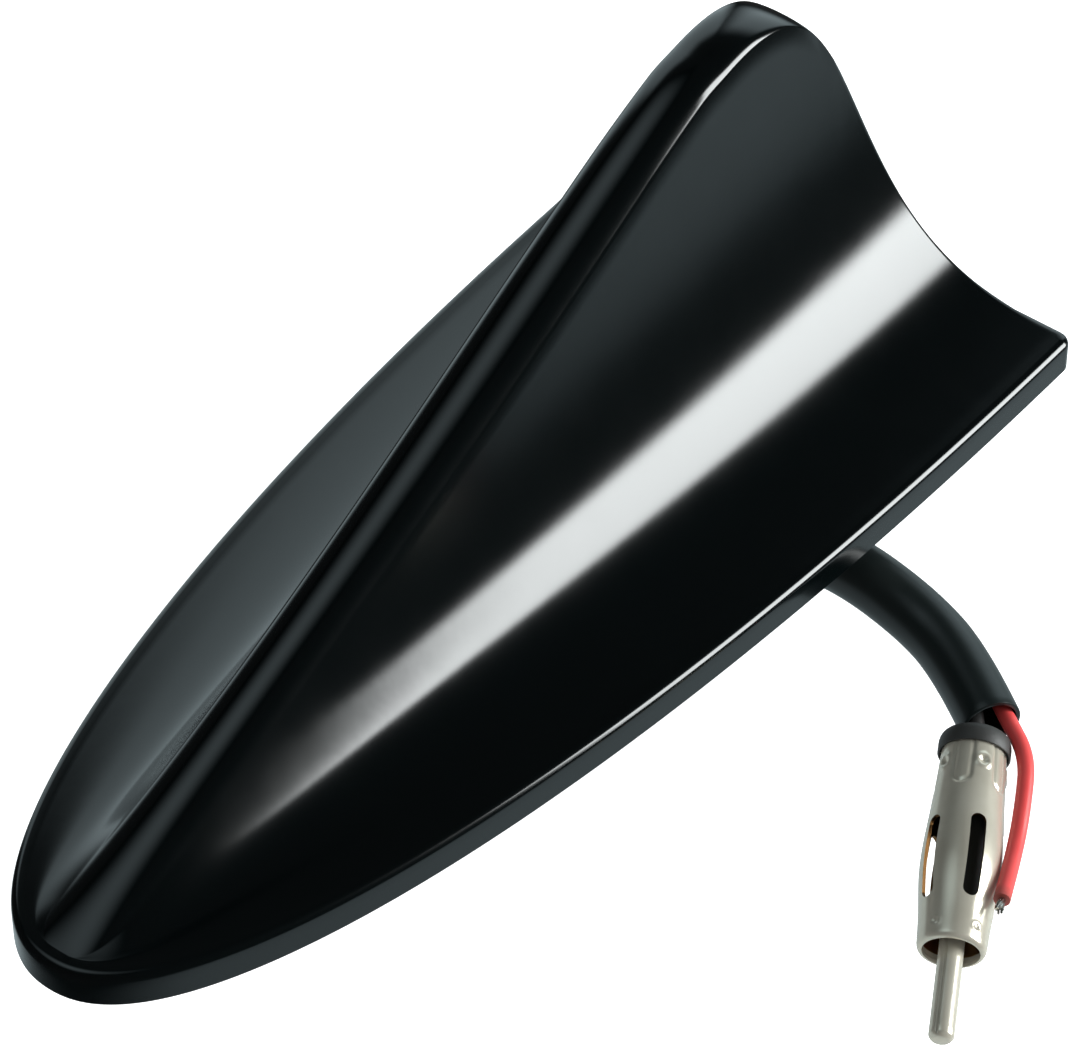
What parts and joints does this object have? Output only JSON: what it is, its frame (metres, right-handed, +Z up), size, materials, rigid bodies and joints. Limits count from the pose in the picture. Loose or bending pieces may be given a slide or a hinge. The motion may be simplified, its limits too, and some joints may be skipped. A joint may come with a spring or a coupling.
{
  "type": "shark fin aerial",
  "caption": "Black fin-shaped roof aerial: hollow moulded housing on a padded base, amplifier inside, and a sleeved pigtail with an aerial plug and a supply wire.",
  "frame": {"origin": "on the roof, under the middle of the housing: the pad's lower face", "axes": "+Z up from the roof, -X towards the fin's nose, +X towards its raked tail, -Y to the side where the pigtail lies"},
  "size_m": [0.165, 0.1151, 0.0853],
  "materials": {
    "fin_plastic": "gloss black moulding",
    "plate_plastic": "matt black moulding",
    "pad_foam": "dark foam",
    "screw_steel": "zinc-plated steel",
    "grommet_rubber": "black rubber",
    "circuit_board": "green solder mask",
    "ferrite": "dark ferrite",
    "capacitor_can": "bare can",
    "chip_plastic": "black chip body",
    "chip_ceramic": "tan ceramic",
    "clamp_steel": "plated strip",
    "sleeve_plastic": "satin black sleeve",
    "coax_jacket": "black jacket",
    "wire_insulation": "red insulation",
    "tinned_copper": "tinned strands",
    "collar_plastic": "charcoal moulding",
    "plug_nickel": "warm nickel plate",
    "insulator_resin": "dark brown resin"
  },
  "bodies": {
    "root": {"fin_shell": "fin_plastic", "base_plate": "plate_plastic", "adhesive_pad": "pad_foam", "base_screws": "screw_steel", "cable_grommet": "grommet_rubber", "amplifier_board": "circuit_board", "board_screws": "screw_steel", "aerial_board": "circuit_board", "input_choke": "ferrite", "filter_capacitor": "capacitor_can", "amplifier_transistor": "chip_plastic", "chip_capacitors": "chip_ceramic", "chip_resistors": "chip_plastic", "coax_clamp": "clamp_steel", "cable_sleeve": "sleeve_plastic", "coax_cable": "coax_jacket", "supply_wire": "wire_insulation", "supply_wire_strands": "tinned_copper", "plug_collar": "collar_plastic", "plug_shell": "plug_nickel", "plug_insulator": "insulator_resin", "plug_pin": "plug_nickel"}
  },
  "joints": []
}
